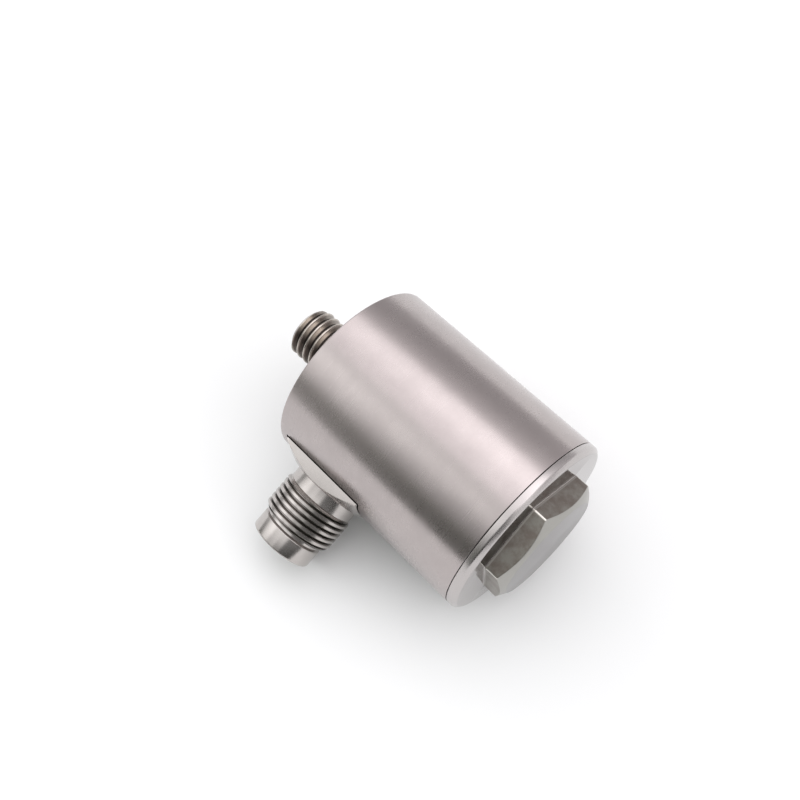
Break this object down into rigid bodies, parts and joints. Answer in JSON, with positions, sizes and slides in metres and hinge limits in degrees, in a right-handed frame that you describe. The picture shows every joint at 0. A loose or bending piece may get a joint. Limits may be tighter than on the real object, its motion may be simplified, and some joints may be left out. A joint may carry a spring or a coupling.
{
  "type": "vibration sensor",
  "caption": "Round stainless vibration sensor with an M8 mounting stud at one end, a hexagon at the other and a threaded coaxial connector on its side.",
  "frame": {"origin": "centre of the mounting face, where the threaded stud leaves the housing", "axes": "+Z along the housing's axis from the mounting face to the hexagon, so the stud points to -Z; +X along the side connector, towards its open end"},
  "size_m": [0.0394, 0.028, 0.0468],
  "materials": {
    "stainless_steel": "fine turned, satin",
    "stud_steel": "rolled thread, slightly tinted",
    "connector_steel": "turned, half bright",
    "cap_steel": "milled, matt",
    "white_dielectric": "turned fluoropolymer",
    "gold_plate": "gold plated",
    "seal_rubber": "smooth black",
    "insulating_washer": "amber film laminate",
    "electrode_bronze": "rolled sheet",
    "piezo_ceramic": "fired ceramic",
    "heavy_metal": "ground sintered alloy",
    "spring_steel": "plain",
    "screw_steel": "plain",
    "tinned_sheet": "drawn sheet",
    "black_moulding": "moulded",
    "green_laminate": "coated laminate",
    "black_epoxy": "moulded, bare",
    "capacitor_ceramic": "fired ceramic",
    "capacitor_moulding": "moulded, bare",
    "resistor_body": "glazed film",
    "copper_wire": "bare drawn wire",
    "wire_insulation": "extruded sleeve"
  },
  "bodies": {
    "root": {"housing": "stainless_steel", "mounting_stud": "stud_steel", "connector_body": "connector_steel", "connector_insulator": "white_dielectric", "centre_contact": "gold_plate", "connector_seal": "seal_rubber", "end_cap": "cap_steel", "cap_seal": "seal_rubber", "base_insulator": "insulating_washer", "ground_electrode": "electrode_bronze", "lower_crystal": "piezo_ceramic", "signal_electrode": "electrode_bronze", "upper_crystal": "piezo_ceramic", "top_electrode": "electrode_bronze", "seismic_mass": "heavy_metal", "spring_washer": "spring_steel", "preload_screw": "screw_steel", "shield_can": "tinned_sheet", "board_spacer": "black_moulding", "circuit_board": "green_laminate", "amplifier_chip": "black_epoxy", "coupling_capacitor": "capacitor_ceramic", "filter_capacitor": "capacitor_moulding", "bias_resistor": "resistor_body", "feedback_resistor": "resistor_body", "signal_lead": "wire_insulation", "element_lead": "wire_insulation", "ground_lead": "copper_wire"}
  },
  "joints": []
}
